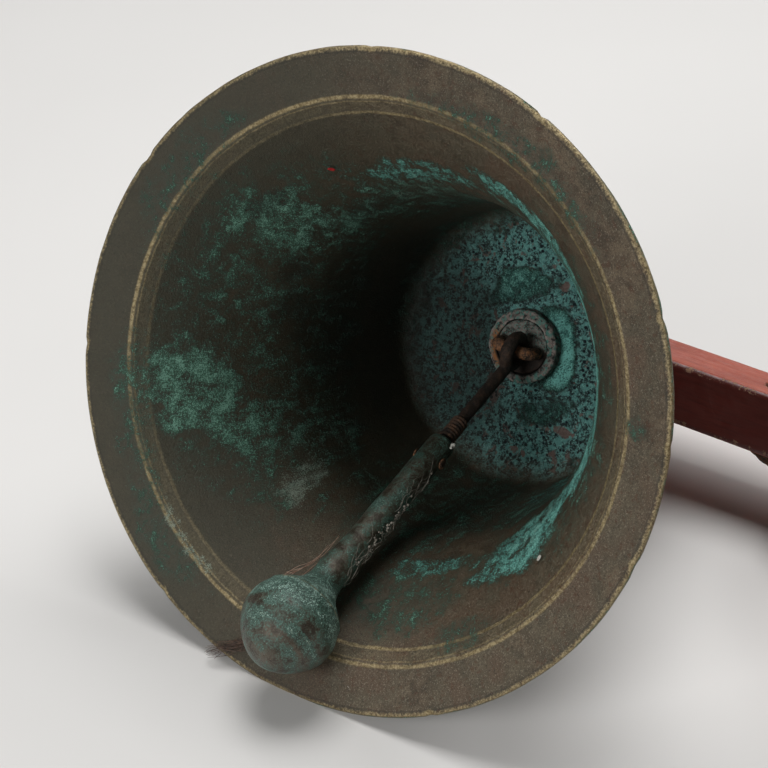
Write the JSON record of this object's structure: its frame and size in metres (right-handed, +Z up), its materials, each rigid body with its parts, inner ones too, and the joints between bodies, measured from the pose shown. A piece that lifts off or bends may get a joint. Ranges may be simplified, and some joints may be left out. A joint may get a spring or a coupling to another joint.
{
  "type": "wall mounted bell",
  "caption": "Flared bell bolted under a wooden arm that stands out from a wall board, with an iron side brace and a clapper that swings inside against the lip.",
  "frame": {"origin": "middle of the wall board's back face, on the wall", "axes": "+Y into the wall, +Z up, +X to the right seen from the front; the bell's axis is parallel to Z, in front of the wall, with the mouth down"},
  "size_m": [0.32, 0.428, 0.3149],
  "materials": {
    "bell_bronze": "weathered brown-grey patina with turquoise verdigris, brass showing on worn beads",
    "clapper_bronze": "teal verdigris over worn bronze",
    "rusty_iron": "pitted, rusted",
    "black_iron": "forge-black with rust at the edges",
    "red_paint_wood": "old red oil paint, worn at the arrises",
    "bare_oak": "oiled oak end grain",
    "leather_pad": "dark compressed leather"
  },
  "bodies": {
    "bracket_and_bell": {"bell": "bell_bronze", "crown_hub": "rusty_iron", "eye_bolt": "rusty_iron", "crown_pad": "leather_pad", "top_plate": "rusty_iron", "top_nut": "rusty_iron", "jam_nut": "rusty_iron", "arm": "red_paint_wood", "wall_board": "red_paint_wood", "tenon_wedges": "bare_oak", "tenon_peg": "bare_oak", "brace": "black_iron", "brace_bolt": "black_iron", "brace_washer": "rusty_iron", "brace_nut": "rusty_iron", "brace_screws": "black_iron"},
    "clapper": {"clapper_rod": "rusty_iron", "rod_lashing": "rusty_iron", "clapper_bob": "clapper_bronze", "clapper_rivet": "rusty_iron"}
  },
  "joints": [
    {"name": "clapper_swing", "type": "hinge", "parent": "bracket_and_bell", "child": "clapper", "pos_m": [0, -0.266, 0.002], "axis": [0, -1, 0], "range_deg": [0, 65.8]}
  ]
}
